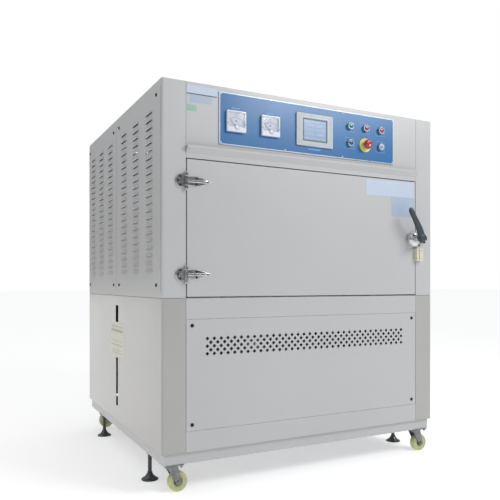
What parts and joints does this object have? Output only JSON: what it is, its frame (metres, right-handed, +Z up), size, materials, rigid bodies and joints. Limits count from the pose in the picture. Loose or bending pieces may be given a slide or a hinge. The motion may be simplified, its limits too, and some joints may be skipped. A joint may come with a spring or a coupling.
{
  "type": "environmental test chamber",
  "caption": "Floor-standing ultraviolet ageing chamber with a hinged front door, lever latch, control panel, louvred sides, perforated lower front, castors and levelling feet.",
  "frame": {"origin": "on the floor, below the middle of the whole object's box", "axes": "+X to the right seen from the front, +Y to the back, +Z up"},
  "size_m": [1.318, 1.3194, 1.525],
  "materials": {
    "cabinet_paint": "satin",
    "panel_blue": "satin",
    "black_steel": "satin",
    "zinc": "satin",
    "dark_steel": "satin",
    "castor_polyurethane": "satin",
    "chrome": "polished",
    "lever_plastic": "satin",
    "cream_plastic": "satin",
    "meter_plastic": "gloss",
    "needle_aluminium": "matte",
    "screen_housing": "matte",
    "bezel_metal": "satin",
    "green_button": "gloss",
    "red_button": "gloss",
    "blue_button": "gloss",
    "key_metal": "satin",
    "stainless": "brushed",
    "mineral_wool": "matte",
    "silicone": "matte",
    "lamp_glass": "gloss",
    "lamp_holder": "matte",
    "galvanised": "satin",
    "impeller_aluminium": "satin",
    "tank_plastic": "satin",
    "equipment": "satin",
    "brass": "satin"
  },
  "bodies": {
    "cabinet": {"base_frame": "cabinet_paint", "caster_plates": "zinc", "lower_side_left": "cabinet_paint", "lower_side_right": "cabinet_paint", "lower_front_frame": "cabinet_paint", "grille_panel": "cabinet_paint", "panel_screws": "black_steel", "upper_side_left": "cabinet_paint", "upper_side_right": "cabinet_paint", "vent_panels": "cabinet_paint", "fascia": "cabinet_paint", "top_cover": "cabinet_paint", "rear_panels": "cabinet_paint", "rear_fittings": "brass", "mid_deck": "galvanised", "control_panel": "panel_blue", "meter_cases": "meter_plastic", "hmi_unit": "screen_housing", "switch_bezels": "bezel_metal", "hinge_leaves": "chrome", "latch_keeper": "chrome", "door_switch": "cream_plastic", "chamber_liner": "stainless", "chamber_insulation": "mineral_wool", "uv_lamps": "lamp_glass", "lamp_holders": "lamp_holder", "specimen_rack": "equipment", "water_tray": "stainless", "fan_housing": "galvanised", "water_tank": "tank_plastic", "electrical_plate": "equipment"},
    "door": {"door_skin": "cabinet_paint", "door_insulation": "mineral_wool", "door_liner": "stainless", "door_gasket": "silicone", "hinge_straps": "chrome", "latch_body": "chrome", "switch_magnet": "cream_plastic"},
    "latch": {"latch_lever": "lever_plastic"},
    "emergency_stop": {"emergency_stop": "red_button"},
    "key_switch": {"key_switch": "key_metal"},
    "meter_needle_left": {"meter_needle_left": "needle_aluminium"},
    "meter_needle_right": {"meter_needle_right": "needle_aluminium"},
    "fan_impeller": {"fan_impeller": "impeller_aluminium"},
    "start_button": {"start_button": "green_button"},
    "stop_button": {"stop_button": "red_button"},
    "reset_button": {"reset_button": "red_button"},
    "lamp_button": {"lamp_button": "blue_button"},
    "caster_fork_front_left": {"caster_fork_front_left": "zinc"},
    "caster_wheel_front_left": {"caster_wheel_front_left": "castor_polyurethane"},
    "levelling_foot_front_left": {"levelling_foot_front_left": "dark_steel"},
    "caster_fork_front_right": {"caster_fork_front_right": "zinc"},
    "caster_wheel_front_right": {"caster_wheel_front_right": "castor_polyurethane"},
    "levelling_foot_front_right": {"levelling_foot_front_right": "dark_steel"},
    "caster_fork_rear_left": {"caster_fork_rear_left": "zinc"},
    "caster_wheel_rear_left": {"caster_wheel_rear_left": "castor_polyurethane"},
    "levelling_foot_rear_left": {"levelling_foot_rear_left": "dark_steel"},
    "caster_fork_rear_right": {"caster_fork_rear_right": "zinc"},
    "caster_wheel_rear_right": {"caster_wheel_rear_right": "castor_polyurethane"},
    "levelling_foot_rear_right": {"levelling_foot_rear_right": "dark_steel"}
  },
  "joints": [
    {"name": "door_hinge", "type": "hinge", "parent": "cabinet", "child": "door", "pos_m": [-0.558, -0.59325, 0.984], "axis": [0, 0, -1], "range_deg": [0, 150]},
    {"name": "latch_turn", "type": "hinge", "parent": "door", "child": "latch", "pos_m": [0.537, -0.62425, 0.981], "axis": [0, -1, 0], "range_deg": [0, 90]},
    {"name": "start_button_press", "type": "slide", "parent": "cabinet", "child": "start_button", "axis": [0, 1, 0], "range_m": [0, 0.004], "stiffness_N_per_m": 600, "springref_m": -0.002},
    {"name": "stop_button_press", "type": "slide", "parent": "cabinet", "child": "stop_button", "axis": [0, 1, 0], "range_m": [0, 0.004], "stiffness_N_per_m": 600, "springref_m": -0.002},
    {"name": "reset_button_press", "type": "slide", "parent": "cabinet", "child": "reset_button", "axis": [0, 1, 0], "range_m": [0, 0.004], "stiffness_N_per_m": 600, "springref_m": -0.002},
    {"name": "lamp_button_press", "type": "slide", "parent": "cabinet", "child": "lamp_button", "axis": [0, 1, 0], "range_m": [0, 0.004], "stiffness_N_per_m": 600, "springref_m": -0.002},
    {"name": "emergency_stop_press", "type": "slide", "parent": "cabinet", "child": "emergency_stop", "axis": [0, 1, 0], "range_m": [0, 0.004], "stiffness_N_per_m": 1500, "springref_m": -0.003},
    {"name": "key_switch_turn", "type": "hinge", "parent": "cabinet", "child": "key_switch", "pos_m": [0.3495, -0.58825, 1.3755], "axis": [0, 1, 0], "range_deg": [0, 90]},
    {"name": "meter_needle_left_swing", "type": "hinge", "parent": "cabinet", "child": "meter_needle_left", "pos_m": [-0.355, -0.58825, 1.378], "axis": [0, 1, 0], "range_deg": [0, 90], "stiffness_Nm_per_rad": 0.001, "springref_deg": -5.73},
    {"name": "meter_needle_right_swing", "type": "hinge", "parent": "cabinet", "child": "meter_needle_right", "pos_m": [-0.2045, -0.58825, 1.378], "axis": [0, 1, 0], "range_deg": [0, 90], "stiffness_Nm_per_rad": 0.001, "springref_deg": -5.73},
    {"name": "caster_swivel_front_left", "type": "hinge", "parent": "cabinet", "child": "caster_fork_front_left", "pos_m": [-0.596, -0.53125, 0.1065], "axis": [0, 0, 1], "continuous": true},
    {"name": "caster_roll_front_left", "type": "hinge", "parent": "caster_fork_front_left", "child": "caster_wheel_front_left", "pos_m": [-0.571, -0.53125, 0.0375], "axis": [0, 1, 0], "continuous": true},
    {"name": "caster_swivel_front_right", "type": "hinge", "parent": "cabinet", "child": "caster_fork_front_right", "pos_m": [0.596, -0.53125, 0.1065], "axis": [0, 0, 1], "continuous": true},
    {"name": "caster_roll_front_right", "type": "hinge", "parent": "caster_fork_front_right", "child": "caster_wheel_front_right", "pos_m": [0.621, -0.53125, 0.0375], "axis": [0, 1, 0], "continuous": true},
    {"name": "caster_swivel_rear_left", "type": "hinge", "parent": "cabinet", "child": "caster_fork_rear_left", "pos_m": [-0.596, 0.57575, 0.1065], "axis": [0, 0, 1], "continuous": true},
    {"name": "caster_roll_rear_left", "type": "hinge", "parent": "caster_fork_rear_left", "child": "caster_wheel_rear_left", "pos_m": [-0.571, 0.57575, 0.0375], "axis": [0, 1, 0], "continuous": true},
    {"name": "caster_swivel_rear_right", "type": "hinge", "parent": "cabinet", "child": "caster_fork_rear_right", "pos_m": [0.596, 0.57575, 0.1065], "axis": [0, 0, 1], "continuous": true},
    {"name": "caster_roll_rear_right", "type": "hinge", "parent": "caster_fork_rear_right", "child": "caster_wheel_rear_right", "pos_m": [0.621, 0.57575, 0.0375], "axis": [0, 1, 0], "continuous": true},
    {"name": "levelling_foot_front_left_screw", "type": "slide", "parent": "cabinet", "child": "levelling_foot_front_left", "axis": [0, 0, 1], "range_m": [-0.015, 0.03]},
    {"name": "levelling_foot_front_right_screw", "type": "slide", "parent": "cabinet", "child": "levelling_foot_front_right", "axis": [0, 0, 1], "range_m": [-0.015, 0.03]},
    {"name": "levelling_foot_rear_left_screw", "type": "slide", "parent": "cabinet", "child": "levelling_foot_rear_left", "axis": [0, 0, 1], "range_m": [-0.015, 0.03]},
    {"name": "levelling_foot_rear_right_screw", "type": "slide", "parent": "cabinet", "child": "levelling_foot_rear_right", "axis": [0, 0, 1], "range_m": [-0.015, 0.03]},
    {"name": "fan_spin", "type": "hinge", "parent": "cabinet", "child": "fan_impeller", "pos_m": [0, 0.11975, 0.984], "axis": [0, 1, 0], "continuous": true}
  ]
}
